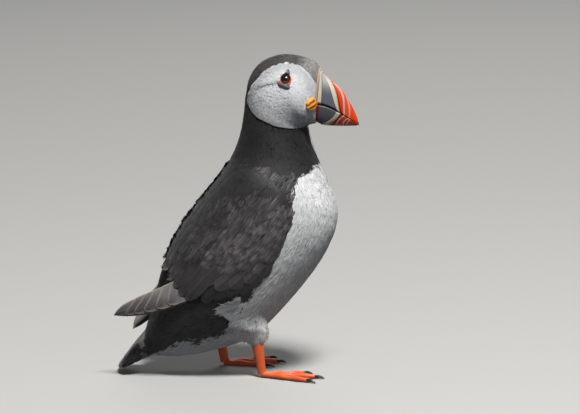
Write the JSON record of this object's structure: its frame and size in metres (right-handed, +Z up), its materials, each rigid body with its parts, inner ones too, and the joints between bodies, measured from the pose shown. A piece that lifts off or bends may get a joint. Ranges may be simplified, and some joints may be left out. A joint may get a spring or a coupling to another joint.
{
  "type": "atlantic puffin, life-size still model",
  "caption": "Life-size still model of an adult Atlantic puffin in summer dress, standing upright with its head turned slightly to its right.",
  "frame": {"origin": "on the floor, midway between bill tip and wing tip and between the two wings", "axes": "+X towards the bill, +Y to the bird's left, +Z up"},
  "size_m": [0.1714, 0.0972, 0.2241],
  "materials": {
    "black_feathers": "overlapping brownish-black feathers with a faint sheen, worn greyer at their edges",
    "white_feathers": "dense silky white feathers",
    "face_feathers": "short, close pale grey feathers",
    "bill_horn": "satin horn: slate base, cream rim and ridges, orange-red outer part",
    "eye": "wet, glossy dark brown eye",
    "eye_horn": "blue-grey horn plates",
    "gape_skin": "wrinkled orange-yellow bare skin",
    "foot_skin": "finely scaled orange-red webbed feet",
    "claw_horn": "dark horn, worn pale at the tips"
  },
  "bodies": {
    "root": {"bill_lower": "bill_horn", "bill_upper": "bill_horn", "claw_inner_left": "claw_horn", "claw_inner_right": "claw_horn", "claw_middle_left": "claw_horn", "claw_middle_right": "claw_horn", "claw_outer_left": "claw_horn", "claw_outer_right": "claw_horn", "eye_left": "eye", "eye_plate_lower_left": "eye_horn", "eye_plate_lower_right": "eye_horn", "eye_plate_upper_left": "eye_horn", "eye_plate_upper_right": "eye_horn", "eye_right": "eye", "foot_left": "foot_skin", "foot_right": "foot_skin", "gape_rosette_left": "gape_skin", "gape_rosette_right": "gape_skin", "head": "face_feathers", "neck": "black_feathers", "primaries_left": "black_feathers", "primaries_right": "black_feathers", "tail": "black_feathers", "thigh_left": "white_feathers", "thigh_right": "white_feathers", "trunk": "white_feathers", "wing_left": "black_feathers", "wing_right": "black_feathers", "shank_left": "foot_skin", "shank_right": "foot_skin"}
  },
  "joints": []
}
